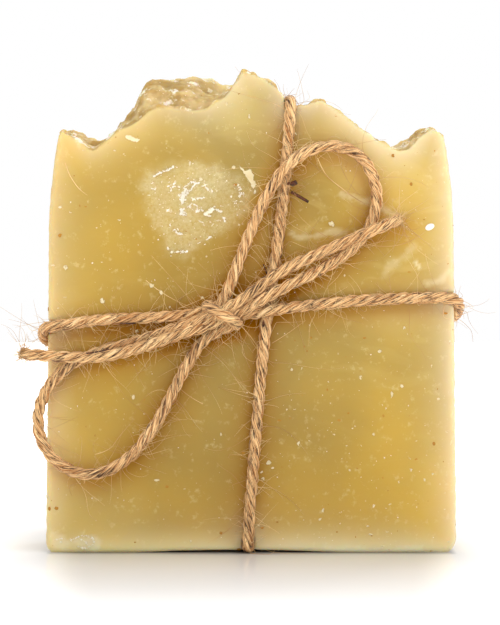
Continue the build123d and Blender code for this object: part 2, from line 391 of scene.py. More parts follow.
def plies_tree():
    """Plies wound round a line, with where they lie in their own length and how far they stand out."""
    tree, given, add = geometry_tree(
        "twine plies", ("Step", "Ply Radius", "Ply Offset", "Lay", "Bundle Relief"), ("Plies", "Sides")
    )
    line = add("GeometryNodeMeshToCurve", {"Mesh": given["Geometry"]})
    line = add("GeometryNodeResampleCurve", {"Curve": line, "Length": given["Step"]}, mode="LENGTH")
    line = add("GeometryNodeSetCurveNormal", {"Curve": line}, mode="MINIMUM_TWIST")
    line = add(
        "GeometryNodeDuplicateElements", {"Geometry": line, "Amount": given["Plies"]}, domain="SPLINE"
    )
    number = line.node.outputs["Duplicate Index"]
    place = add("GeometryNodeInputPosition")
    length = add("GeometryNodeSplineParameter", output="Length")
    stored = (("axis", place, "FLOAT_VECTOR"), ("along", length, "FLOAT"), ("ply", number, "FLOAT"))
    for name, value, kind in stored:
        line = add(
            "GeometryNodeStoreNamedAttribute",
            {"Geometry": line, "Name": name, "Value": value},
            data_type=kind,
        )

    # the lay wanders a little, every 11 mm
    uneven = add("ShaderNodeTexNoise", {"W": length, "Scale": 90.0, "Detail": 1.0}, noise_dimensions="1D")
    wander = add("ShaderNodeMath", {0: uneven, 1: 1.6}, operation="MULTIPLY")
    turns = add("ShaderNodeMath", {0: length, 1: given["Lay"]}, operation="DIVIDE")
    wound = add("ShaderNodeMath", {0: turns, 1: -2 * math.pi, 2: wander}, operation="MULTIPLY_ADD")
    share = add("ShaderNodeMath", {0: number, 1: given["Plies"]}, operation="DIVIDE")
    angle = add("ShaderNodeMath", {0: share, 1: 2 * math.pi, 2: wound}, operation="MULTIPLY_ADD")
    normal = add("GeometryNodeInputNormal", output="Normal")
    tangent = add("GeometryNodeInputTangent")
    across = add("ShaderNodeVectorMath", {0: tangent, 1: normal}, operation="CROSS_PRODUCT")
    cosine = add("ShaderNodeMath", {0: angle}, operation="COSINE")
    sine = add("ShaderNodeMath", {0: angle}, operation="SINE")
    first = add("ShaderNodeVectorMath", {0: normal, "Scale": cosine}, operation="SCALE")
    second = add("ShaderNodeVectorMath", {0: across, "Scale": sine}, operation="SCALE")
    outward = add("ShaderNodeVectorMath", {0: first, 1: second}, operation="ADD")
    shift = add("ShaderNodeVectorMath", {0: outward, "Scale": given["Ply Offset"]}, operation="SCALE")
    line = add("GeometryNodeSetPosition", {"Geometry": line, "Offset": shift})

    ring = add(
        "GeometryNodeCurvePrimitiveCircle", {"Resolution": given["Sides"], "Radius": given["Ply Radius"]}
    )
    ring = add(
        "GeometryNodeStoreNamedAttribute",
        {"Geometry": ring, "Name": "section", "Value": place},
        data_type="FLOAT_VECTOR",
    )
    # each ply swells and thins every 6 mm
    seed = add("ShaderNodeMath", {0: number, 1: 7.3, 2: length}, operation="MULTIPLY_ADD")
    swell = add("ShaderNodeTexNoise", {"W": seed, "Scale": 160.0, "Detail": 2.0}, noise_dimensions="1D")
    swell = add("ShaderNodeMapRange", {"Value": swell, "To Min": 0.84, "To Max": 1.16})
    mesh = add(
        "GeometryNodeCurveToMesh", {"Curve": line, "Profile Curve": ring, "Scale": swell, "Fill Caps": True}
    )
    # bundles of fibre 5 mm long and 0.4 mm wide along each ply
    along = add("GeometryNodeInputNamedAttribute", {"Name": "along"})
    ply = add("GeometryNodeInputNamedAttribute", {"Name": "ply"})
    section = add("GeometryNodeInputNamedAttribute", {"Name": "section"}, data_type="FLOAT_VECTOR")
    apart = add("ShaderNodeMath", {0: ply, 1: PLY_SHIFT, 2: along}, operation="MULTIPLY_ADD")
    parts = add("ShaderNodeSeparateXYZ", {"Vector": section}).node.outputs
    spot = add("ShaderNodeCombineXYZ", {"X": apart, "Y": parts["X"], "Z": parts["Y"]})
    spot = add("ShaderNodeVectorMath", {0: spot, 1: (220.0, 2800.0, 2800.0)}, operation="MULTIPLY")
    bundle = add("ShaderNodeTexNoise", {"Vector": spot, "Scale": 1.0, "Detail": 2.0, "Roughness": 0.6})
    height = add("ShaderNodeMath", {0: bundle, 1: 0.5}, operation="SUBTRACT")
    height = add("ShaderNodeMath", {0: height, 1: given["Bundle Relief"]}, operation="MULTIPLY")
    facing = add("GeometryNodeInputNormal", output="Normal")
    relief = add("ShaderNodeVectorMath", {0: facing, "Scale": height}, operation="SCALE")
    mesh = add("GeometryNodeStoreNamedAttribute", {"Geometry": mesh, "Name": "bundle", "Value": bundle})
    mesh = add("GeometryNodeSetPosition", {"Geometry": mesh, "Offset": relief})
    axis = add("GeometryNodeInputNamedAttribute", {"Name": "axis"}, data_type="FLOAT_VECTOR")
    proud = add("ShaderNodeVectorMath", {0: place, 1: axis}, output="Value", operation="DISTANCE")
    mesh = add("GeometryNodeStoreNamedAttribute", {"Geometry": mesh, "Name": "proud", "Value": proud})
    mesh = add("GeometryNodeRemoveAttribute", {"Geometry": mesh, "Name": "axis"})
    mesh = add("GeometryNodeSetShadeSmooth", {"Geometry": mesh})
    mesh = add("GeometryNodeRealizeInstances", {"Geometry": mesh})
    mesh = add("GeometryNodeSetMaterial", {"Geometry": mesh, "Material": given["Material"]})
    add("NodeGroupOutput", {"Geometry": mesh})
    return tree


def fuzz_tree():
    """Loose fibres that stand out of the twine, mostly short, and a brush of them at its two cut ends."""
    tree, given, add = geometry_tree(
        "twine fuzz",
        (
            "Density",
            "End Density",
            "Twine Length",
            "End Step",
            "Shortest",
            "Longest",
            "Thickness",
            "Face",
            "Furthest",
            "Half Width",
        ),
        ("Seed",),
    )
    along = add("GeometryNodeInputNamedAttribute", {"Name": "along"})
    proud = add("GeometryNodeInputNamedAttribute", {"Name": "proud"})
    outside = add("ShaderNodeMath", {0: proud, 1: 0.8 * TWINE_RADIUS}, operation="GREATER_THAN")
    from_end = add("ShaderNodeMath", {0: given["Twine Length"], 1: along}, operation="SUBTRACT")
    nearest_end = add("ShaderNodeMath", {0: from_end, 1: along}, operation="MINIMUM")
    at_end = add("ShaderNodeMath", {0: nearest_end, 1: given["End Step"]}, operation="LESS_THAN")
    # fewer where the twine is drawn round the bar's sides
    place = add("GeometryNodeInputPosition")
    parts = add("ShaderNodeSeparateXYZ", {"Vector": place}).node.outputs
    rooted = add("ShaderNodeMath", {0: parts["Y"]}, operation="ABSOLUTE")
    thinner = add(
        "ShaderNodeMapRange",
        {"Value": rooted, "From Min": FACE - 2 * MM, "From Max": FACE + 1 * MM, "To Min": 0.4},
    )
    sides = add("ShaderNodeMath", {0: outside, 1: given["Density"]}, operation="MULTIPLY")
    sides = add("ShaderNodeMath", {0: sides, 1: thinner}, operation="MULTIPLY")
    density = add("ShaderNodeMath", {0: at_end, 1: given["End Density"], 2: sides}, operation="MULTIPLY_ADD")
    roots = add(
        "GeometryNodeDistributePointsOnFaces",
        {"Mesh": given["Geometry"], "Density": density, "Seed": given["Seed"]},
    )
    normal = roots.node.outputs["Normal"]
    anywhere = {"Min": (-1, -1, -1), "Max": (1, 1, 1)}
    sway = add("FunctionNodeRandomValue", {**anywhere, "Seed": 8}, data_type="FLOAT_VECTOR")
    stray = add("FunctionNodeRandomValue", {**anywhere, "Seed": 3}, data_type="FLOAT_VECTOR")
    for name, value in (("root", place), ("sway", sway)):
        roots = add(
            "GeometryNodeStoreNamedAttribute",
            {"Geometry": roots, "Name": name, "Value": value},
            data_type="FLOAT_VECTOR",
        )
    direction = add("ShaderNodeVectorMath", {0: stray, 1: (1.3,) * 3, 2: normal}, operation="MULTIPLY_ADD")
    turn = add("FunctionNodeAlignRotationToVector", {"Vector": direction}, axis="Z")
    size = uneven_size(add, 5, 2.7, given["Shortest"], given["Longest"])
    brush = add("ShaderNodeMapRange", {"Value": at_end, "To Min": 1.0, "To Max": 0.2})
    size = add("ShaderNodeMath", {0: size, 1: brush}, operation="MULTIPLY")
    fibre = add("GeometryNodeCurvePrimitiveLine", {"Start": (0, 0, 0), "End": (0, 0, 1)})
    fibre = add("GeometryNodeResampleCurve", {"Curve": fibre, "Count": 12})
    fibres = add(
        "GeometryNodeInstanceOnPoints", {"Points": roots, "Instance": fibre, "Rotation": turn, "Scale": size}
    )
    fibres = add("GeometryNodeRealizeInstances", {"Geometry": fibres})

    root = add("GeometryNodeInputNamedAttribute", {"Name": "root"}, data_type="FLOAT_VECTOR")
    factor = add("GeometryNodeSplineParameter", output="Factor")
    reach = add("GeometryNodeSplineLength", output="Length")
    # each fibre bows to its own side, and curls a little besides, every 4 mm
    sway = add("GeometryNodeInputNamedAttribute", {"Name": "sway"}, data_type="FLOAT_VECTOR")
    bow = add("ShaderNodeMath", {0: factor, 1: 2.0}, operation="POWER")
    bow = add("ShaderNodeMath", {0: bow, 1: reach}, operation="MULTIPLY")
    bow = add("ShaderNodeMath", {0: bow, 1: 1.3}, operation="MULTIPLY")
    bow = add("ShaderNodeVectorMath", {0: sway, "Scale": bow}, operation="SCALE")
    apart = add("ShaderNodeVectorMath", {0: root, "Scale": 23.0}, operation="SCALE")
    spot = add("ShaderNodeVectorMath", {0: place, 1: apart}, operation="ADD")
    curl = add("ShaderNodeTexNoise", {"Vector": spot, "Scale": 230.0, "Detail": 0.0}, output="Color")
    curl = add("ShaderNodeVectorMath", {0: curl, 1: (0.5,) * 3}, operation="SUBTRACT")
    loose = add("ShaderNodeMath", {0: factor, 1: reach}, operation="MULTIPLY")
    loose = add("ShaderNodeMath", {0: loose, 1: 2.5}, operation="MULTIPLY")
    bend = add("ShaderNodeVectorMath", {0: curl, "Scale": loose}, operation="SCALE")
    bend = add("ShaderNodeVectorMath", {0: bend, 1: bow}, operation="ADD")
    fibres = add("GeometryNodeSetPosition", {"Geometry": fibres, "Offset": bend})

    # fibres that would run into the bar lie on its face, and none goes under the floor
    root_parts = add("ShaderNodeSeparateXYZ", {"Vector": root}).node.outputs
    side = add("ShaderNodeMath", {0: root_parts["Y"]}, operation="SIGN")
    depth = add("ShaderNodeMath", {0: parts["Y"], 1: side}, operation="MULTIPLY")
    lifted = add("ShaderNodeClamp", {"Value": depth, "Min": given["Face"], "Max": given["Furthest"]})
    lifted = add("ShaderNodeMath", {0: lifted, 1: side}, operation="MULTIPLY")
    root_depth = add("ShaderNodeMath", {0: root_parts["Y"]}, operation="ABSOLUTE")
    on_face = add("ShaderNodeMath", {0: root_depth, 1: given["Face"]}, operation="GREATER_THAN")
    width = add("ShaderNodeMath", {0: parts["X"]}, operation="ABSOLUTE")
    over_bar = add("ShaderNodeMath", {0: width, 1: given["Half Width"]}, operation="LESS_THAN")
    held = add("ShaderNodeMath", {0: on_face, 1: over_bar}, operation="MULTIPLY")
    y = add("ShaderNodeMix", {"Factor": held, "A": parts["Y"], "B": lifted}, data_type="FLOAT")
    z = add("ShaderNodeMath", {0: parts["Z"], 1: given["Thickness"]}, operation="MAXIMUM")
    kept = add("ShaderNodeCombineXYZ", {"X": parts["X"], "Y": y, "Z": z})
    fibres = add("GeometryNodeSetPosition", {"Geometry": fibres, "Position": kept})

    ring = add("GeometryNodeCurvePrimitiveCircle", {"Resolution": 3, "Radius": given["Thickness"]})
    taper = add("ShaderNodeMapRange", {"Value": factor, "To Min": 1.0, "To Max": 0.35})
    mesh = add(
        "GeometryNodeCurveToMesh",
        {"Curve": fibres, "Profile Curve": ring, "Scale": taper, "Fill Caps": True},
    )
    mesh = add("GeometryNodeRealizeInstances", {"Geometry": mesh})
    mesh = add("GeometryNodeSetMaterial", {"Geometry": mesh, "Material": given["Material"]})
    add("NodeGroupOutput", {"Geometry": mesh})
    return tree


def jute_material():
    """Jute yarn, spun and plied: coarse tan fibres with painted glints, and painted shade in the thin grooves
    between plies and the gaps between bundles.
    """
    material = bpy.data.materials.new("plied jute")
    add = empty_nodes(material)
    along, ply, proud, bundle = [
        add("ShaderNodeAttribute", output="Fac", attribute_name=name)
        for name in ("along", "ply", "proud", "bundle")
    ]
    section = add("ShaderNodeAttribute", output="Vector", attribute_name="section")
    apart = add("ShaderNodeMath", {0: ply, 1: PLY_SHIFT, 2: along}, operation="MULTIPLY_ADD")
    parts = add("ShaderNodeSeparateXYZ", {"Vector": section}).node.outputs
    spot = add("ShaderNodeCombineXYZ", {"X": apart, "Y": parts["X"], "Z": parts["Y"]})
    # streaks of fibre 4 mm long and 0.15 mm wide: single fibres are finer than the picture shows
    bundles = add("ShaderNodeMapping", {"Vector": spot, "Scale": (240.0, 7000.0, 7000.0)})
    streaks = add("ShaderNodeTexNoise", {"Vector": bundles, "Scale": 1.0, "Detail": 3.0, "Roughness": 0.65})
    light = add("ShaderNodeMapRange", {"Value": streaks, "From Min": 0.40, "From Max": 0.60})
    # stretches of 12 mm that are browner
    stretch = add("ShaderNodeTexNoise", {"W": apart, "Scale": 80.0, "Detail": 2.0}, noise_dimensions="1D")
    brown = add("ShaderNodeMapRange", {"Value": stretch, "From Min": 0.5, "From Max": 0.75, "To Max": 0.25})
    # painted shade in the grooves between the plies, with breaks every 1.4 mm
    low = 0.62 * TWINE_RADIUS
    high = 0.82 * TWINE_RADIUS
    painted_groove_shade = add(
        "ShaderNodeMapRange",
        {"Value": proud, "From Min": low, "From Max": high, "To Min": 1.0, "To Max": 0.0},
    )
    broken = add("ShaderNodeTexNoise", {"W": apart, "Scale": 700.0, "Detail": 1.0}, noise_dimensions="1D")
    broken = add("ShaderNodeMapRange", {"Value": broken, "From Min": 0.40, "From Max": 0.58, "To Min": 0.2})
    painted_groove_shade = add("ShaderNodeMath", {0: painted_groove_shade, 1: broken}, operation="MULTIPLY")
    # painted shade in the gaps between the bundles, and painted glints on the ones that stand out
    painted_gap_shade = add(
        "ShaderNodeMapRange",
        {"Value": bundle, "From Min": 0.34, "From Max": 0.43, "To Min": 0.85, "To Max": 0.0},
    )
    painted_glint = add("ShaderNodeMapRange", {"Value": bundle, "From Min": 0.56, "From Max": 0.68, "To Max": 0.7})
    # bark left on single fibres, in dark dashes of 1 mm
    dashes = add("ShaderNodeMapping", {"Vector": spot, "Scale": (900.0, 9000.0, 9000.0)})
    bark = add("ShaderNodeTexNoise", {"Vector": dashes, "Scale": 1.0, "Detail": 1.0})
    bark = add("ShaderNodeMapRange", {"Value": bark, "From Min": 0.58, "From Max": 0.64, "To Max": 0.9})
    colour = linear("#AC6E34")
    for factor, code in (
        (light, "#FBD298"),
        (brown, "#8F6238"),
        (painted_groove_shade, "#1E0F05"),
        (painted_gap_shade, "#4A2810"),
        (painted_glint, "#F6D4A0"),
        (bark, "#2A1507"),
    ):
        colour = add("ShaderNodeMix", {"Factor": factor, "A": colour, "B": linear(code)}, data_type="RGBA")
    bump = add("ShaderNodeBump", {"Height": streaks, "Strength": 0.8, "Distance": 0.14 * MM})
    shader = add(
        "ShaderNodeBsdfPrincipled",
        {
            "Base Color": colour,
            "Roughness": 0.62,
            "Normal": bump,
            "Sheen Weight": 0.1,
            "Sheen Roughness": 0.5,
            "Specular IOR Level": 0.25,
        },
    )
    add("ShaderNodeOutputMaterial", {"Surface": shader})
    return material


def mottled_material(name, pattern, spread, dull, bright, finish):
    """Material whose tint changes in spots from a dull colour to a bright one, with a finish."""
    material = bpy.data.materials.new(name)
    add = empty_nodes(material)
    place = add("ShaderNodeTexCoord", output="Object")
    tint = add("ShaderNodeTexNoise", {"Vector": place, **pattern})
    tint = add("ShaderNodeMapRange", {"Value": tint, **spread})
    colour = add("ShaderNodeMix", {"Factor": tint, "A": linear(dull), "B": linear(bright)}, data_type="RGBA")
    shader = add("ShaderNodeBsdfPrincipled", {"Base Color": colour, **finish})
    add("ShaderNodeOutputMaterial", {"Surface": shader})
    return material


line = route_line()
path = [vertex.co.copy() for vertex in line.vertices]
twine_length = sum((b - a).length for a, b in zip(path, path[1:]))
twine = grown_piece(
    "twine",
    line,
    plies_tree(),
    {
        "Step": PLY_STEP,
        "Plies": PLIES,
        "Ply Radius": PLY_RADIUS,
        "Ply Offset": PLY_OFFSET,
        "Lay": LAY,
        "Sides": 14,
        "Bundle Relief": 0.36 * MM,
        "Material": jute_material(),
    },
)
# Single jute fibres: pale straw, silky, their tint changing every 6 mm, from fibre to fibre
fibre = mottled_material(
    "loose jute fibre",
    {"Scale": 170.0, "Detail": 1.0},
    {"From Min": 0.35, "From Max": 0.65},
    "#B07C38",
    "#EECF92",
    {"Roughness": 0.5, "Sheen Weight": 0.2, "Specular IOR Level": 0.5},
)
fuzz = grown_piece(
    "twine_fuzz",
    twine.data.copy(),
    fuzz_tree(),
    {
        "Density": 0.85 / MM**2,
        "End Density": 36.0 / MM**2,
        "Twine Length": twine_length,
        "End Step": PLY_STEP / 4,
        "Shortest": 0.8 * MM,
        "Longest": 5.4 * MM,
        "Thickness": 0.040 * MM,
        "Face": FACE + 0.05 * MM,
        "Furthest": FACE + 12 * MM,
        "Half Width": 33.8 * MM,
        "Seed": 11,
        "Material": fibre,
    },
)

# Woody splinters caught in the twine, and long single fibres: radius, then places along each, in mm
SPLINTERS = (
    (0.45, ((6.6, 60.7, 2.7), (7.1, 60.9, 2.9), (7.5, 61.1, 2.9))),
    (0.26, ((6.0, 60.9, 2.7), (6.3, 60.8, 2.8), (6.6, 60.7, 2.7))),
    (0.29, ((6.6, 59.5, 2.0), (8.0, 58.7, 1.6), (9.4, 57.9, 1.2))),
    (0.16, ((-27.0, 33.0, 4.6), (-24.8, 33.2, 4.8), (-23.2, 33.7, 4.7))),
    (0.14, ((-21.6, 37.9, 2.0), (-20.2, 37.8, 2.1), (-19.0, 37.9, 2.0))),
    (0.15, ((2.1, 38.4, 1.9), (2.0, 36.4, 1.7), (1.7, 34.2, 1.7))),
    (0.12, ((2.0, 47.6, 1.6), (2.3, 46.9, 1.9), (2.6, 46.0, 1.8))),
)
LONG_FIBRES = (
    (0.055, ((-25.7, 16.3, 1.0), (-23.2, 16.9, 1.4), (-21.9, 19.2, 1.2), (-19.0, 22.4, 0.3))),
    (0.055, ((-30.6, 37.4, 1.8), (-29.4, 39.2, 1.2), (-28.1, 40.7, 0.6), (-27.2, 40.4, 0.2))),
    (0.050, ((-12.0, 40.3, 2.0), (-9.3, 41.3, 1.5), (-6.8, 42.5, 2.2))),
    (0.050, ((19.2, 50.8, 3.0), (22.6, 50.2, 1.6), (27.5, 51.8, 0.5), (29.0, 53.3, 0.2))),
    (0.050, ((24.6, 55.6, 2.8), (26.0, 52.8, 1.4), (29.6, 50.9, 0.2))),
    (0.050, ((3.4, 34.6, 0.4), (5.6, 35.8, 0.6), (9.0, 38.4, 0.3))),
    (0.045, ((-1.6, 37.4, 5.4), (0.4, 35.4, 3.0), (1.6, 33.0, 0.5))),
    (0.045, ((-17.4, 45.0, 0.3), (-14.0, 42.0, 0.9), (-9.5, 40.4, 2.6))),
    (0.045, ((-8.0, 24.6, 0.3), (-11.2, 26.2, 1.0), (-12.8, 28.4, 2.4))),
    (0.060, (
        (-30.7, 64.4, 0.0), (-30.3, 62.9, 0.05), (-29.3, 61.2, 0.05), (-28.2, 59.8, 0.05),
        (-27.0, 59.0, 0.0),
    )),
    (0.065, (
        (10.9, 65.0, 2.6), (11.7, 63.2, 1.6), (12.8, 61.8, 0.8), (14.8, 60.3, 0.3),
        (17.1, 58.5, 0.3), (19.1, 57.4, 1.0),
    )),
)


def tube_piece(name, lines, tip, material):
    """Thin rods along given lines on the front face, tapered to a share of their radius at the tip."""
    curve = bpy.data.curves.new(name, "CURVE")
    curve.dimensions = "3D"
    curve.bevel_depth = MM
    curve.bevel_resolution = 1
    curve.resolution_u = 6
    curve.use_fill_caps = True
    for radius, places in lines:
        points = smooth_spline(curve, [on_front(*place) for place in places])
        for point in points:
            point.radius = radius
        points[-1].radius = radius * tip
    mesh = plain_mesh(bpy.data.objects.new(name, curve))
    mesh.materials.clear()
    mesh.materials.append(material)
    return link_piece(name, mesh)


# Bits of jute stalk: dark brown, woody, split along a grain of 0.3 mm
wood = mottled_material(
    "jute stalk",
    {"Scale": 3000.0, "Detail": 2.0},
    {"From Min": 0.35, "From Max": 0.65},
    "#1C0C03",
    "#622E0C",
    {"Roughness": 0.7},
)
splinters = tube_piece("twine_splinters", SPLINTERS, 0.85, wood)
long_fibres = tube_piece("twine_long_fibres", LONG_FIBRES, 0.35, fibre)

# Soap bar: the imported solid, cut fine enough to carry its rough top, chipped edges and twine marks
VOXEL = 0.43 * MM
# Forms that the solid leaves out: folds, curds and grain of the spooned top, the cleft behind its front
# edge, the lump behind that, nibbled edges, waves of the faces, the sunken ash patch. Sizes and heights in mm
FOLD_SIZE = 5.2
FOLD_HEIGHT = 0.65
CURD_SIZE = 2.6
CURD_HEIGHT = 0.5
GRAIN_SIZE = 0.9
GRAIN_HEIGHT = 0.05
CLEFT_BEHIND = 2.2
CLEFT_WIDTH = 1.0
CLEFT_DEPTH = 0.7
LUMP_RISE = 1.0
NIBBLE_SIZE = 1.6
NIBBLE_DEPTH = 0.10
WAVE_SIZE = 9
WAVE_HEIGHT = 0.04
PATCH_SINK = 0.10
# Ragged edges of the ash patch and of the smears: size and reach of their teeth, in mm
TEETH_SIZE = 2.2
TEETH_REACH = 0.9
# Painted rim light of the faces, where light shows through the thin soap at the edges: how far it fades in
# mm, its strength on the left, and how much is added on the right
RIM_FADE = 2.3
RIM_STRENGTH = 0.5
RIM_GAIN = 0.35
# Stain and painted shadow of the twine: the soap's colour is stained and shaded a little below the twine, and
# more where it
# passes several times: how far round a place its length is added up, the lengths from which and up to which
# that counts, in mm, and how far the stain and painted shadow fade, and how much further there, in mm
SHADE_SHIFT = Vector((0.3, 0.0, 1.0)) * MM
CROWD_REACH = 5.0 * MM
CROWD_LENGTHS = (12, 36)
STAIN_SHADOW_FADE = 1.9
STAIN_SHADOW_GAIN = 1.3
# The tight twine's bed, in twine radii
BED = 1.02
# The base is a little less hollow, and its edge sharper, than the solid's
BASE_DROP = 0.35 * MM
BASE_FADE = 1.2 * MM

# Edge of the ash patch on the front face: across and up, in mm
ASH_PATCH = (
    (-17.8, 63.2), (-18.0, 60.2), (-16.7, 55.0), (-15.0, 52.0), (-14.2, 49.8), (-10.2, 49.2), (-7.2, 51.2),
    (-4.0, 53.9), (0.0, 57.5), (0.4, 60.2), (-2.0, 62.6), (-8.5, 64.4), (-13.0, 64.6),
)

# Pale smears on the front face: half width, strength, then places along each one, across and up, in mm
SMEARS = (
    (0.6, 0.35, ((6.4, 52.8), (7.8, 52.1), (10.0, 52.3), (11.8, 52.6), (12.6, 53.0), (15.6, 52.8))),
    (0.6, 0.35, ((15.0, 59.4), (16.6, 58.7), (19.6, 57.9), (21.6, 56.9), (23.8, 55.6))),
    (1.0, 0.25, ((22.3, 46.4), (23.9, 48.0), (26.7, 50.3))),
    (0.35, 0.6, ((27.2, 48.0), (27.9, 46.9))),
    (0.7, 0.4, ((29.2, 44.5), (31.2, 44.9), (32.7, 46.4))),
    (1.2, 0.5, ((-32.2, 1.6), (-30.2, 2.0), (-27.6, 1.9), (-26.0, 1.4))),
    (0.6, 0.5, ((12.4, 0.9), (16.0, 0.6), (20.0, 0.5), (24.0, 0.6), (28.0, 0.8))),
)

# Listed patches behind the front face, partly clouds in the mix and partly painted light and shade (paler at
# the upper right, the lower left and along the base edge, deeper round the knot): across, up, half sizes in
# mm, then how much deeper (-) or paler
CLOUDS = (
    (-14, 46, 13, 12, -0.6),
    (-13, 38, 6, 4, -0.35),
    (-23, 62, 6, 5, -0.35),
    (19, 64, 7, 8, 0.45),
    (24, 40, 7, 4, 0.35),
    (-22, 24, 8, 7, -0.2),
    (-8, 14, 10, 8, -0.2),
    (14, 20, 10, 10, -0.15),
    (-27, 8, 11, 8, 0.2),
    (11, 57, 5, 5, -0.35),
    (0, 0, 45, 2.6, 0.75),
    (-34, 20, 4, 15, 0.6),
    (-34, 58, 4, 14, -0.3),
    (-13, 66, 10, 2.5, -0.25),
    (-2, 74, 5, 6, 0.3),
)


def step(low, high, value):
    """Smooth step from 0 at low to 1 at high."""
    share = min(max((value - low) / (high - low), 0.0), 1.0)
    return share * share * (3 - 2 * share)


def fine_copy(node):
    """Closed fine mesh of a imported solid."""
    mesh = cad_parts[node].data.copy()
    shape = bmesh.new()
    shape.from_mesh(mesh)
    bmesh.ops.remove_doubles(shape, verts=shape.verts, dist=1e-6)
    shape.to_mesh(mesh)
    shape.free()
    holder = bpy.data.objects.new("fine copy", mesh)
    cut = holder.modifiers.new("cut", "REMESH")
    cut.mode = "VOXEL"
    cut.voxel_size = VOXEL
    cut.use_smooth_shade = True
    ease = holder.modifiers.new("ease", "SMOOTH")
    ease.factor = 0.5
    ease.iterations = 3
    return plain_mesh(holder)


def search_tree(places):
    """Tree that finds the nearest of some places."""
    tree = kdtree.KDTree(len(places))
    for index, place in enumerate(places):
        tree.insert(place, index)
    tree.balance()
    return tree


def line_distance(spot, places):
    """Distance in mm of a place on the front face from a line across it."""
    here = Vector((spot.x / MM, spot.z / MM, 0))
    nearest = math.inf
    for start, end in zip(places, places[1:]):
        start = Vector((*start, 0))
        end = Vector((*end, 0))
        foot, share = intersect_point_line(here, start, end)
        foot = start if share < 0 else end if share > 1 else foot
        nearest = min(nearest, (foot - here).length)
    return nearest


def patch_depth(spot):
    """Distance in mm of a place on the front face from the ash patch's edge, more than 0 inside."""
    x = spot.x / MM
    z = spot.z / MM
    edge = ASH_PATCH + ASH_PATCH[:1]
    inside = False
    for (ax, az), (bx, bz) in zip(edge, edge[1:]):
        if (az > z) != (bz > z) and x < ax + (bx - ax) * (z - az) / (bz - az):
            inside = not inside
    distance = line_distance(spot, edge)
    return distance if inside else -distance


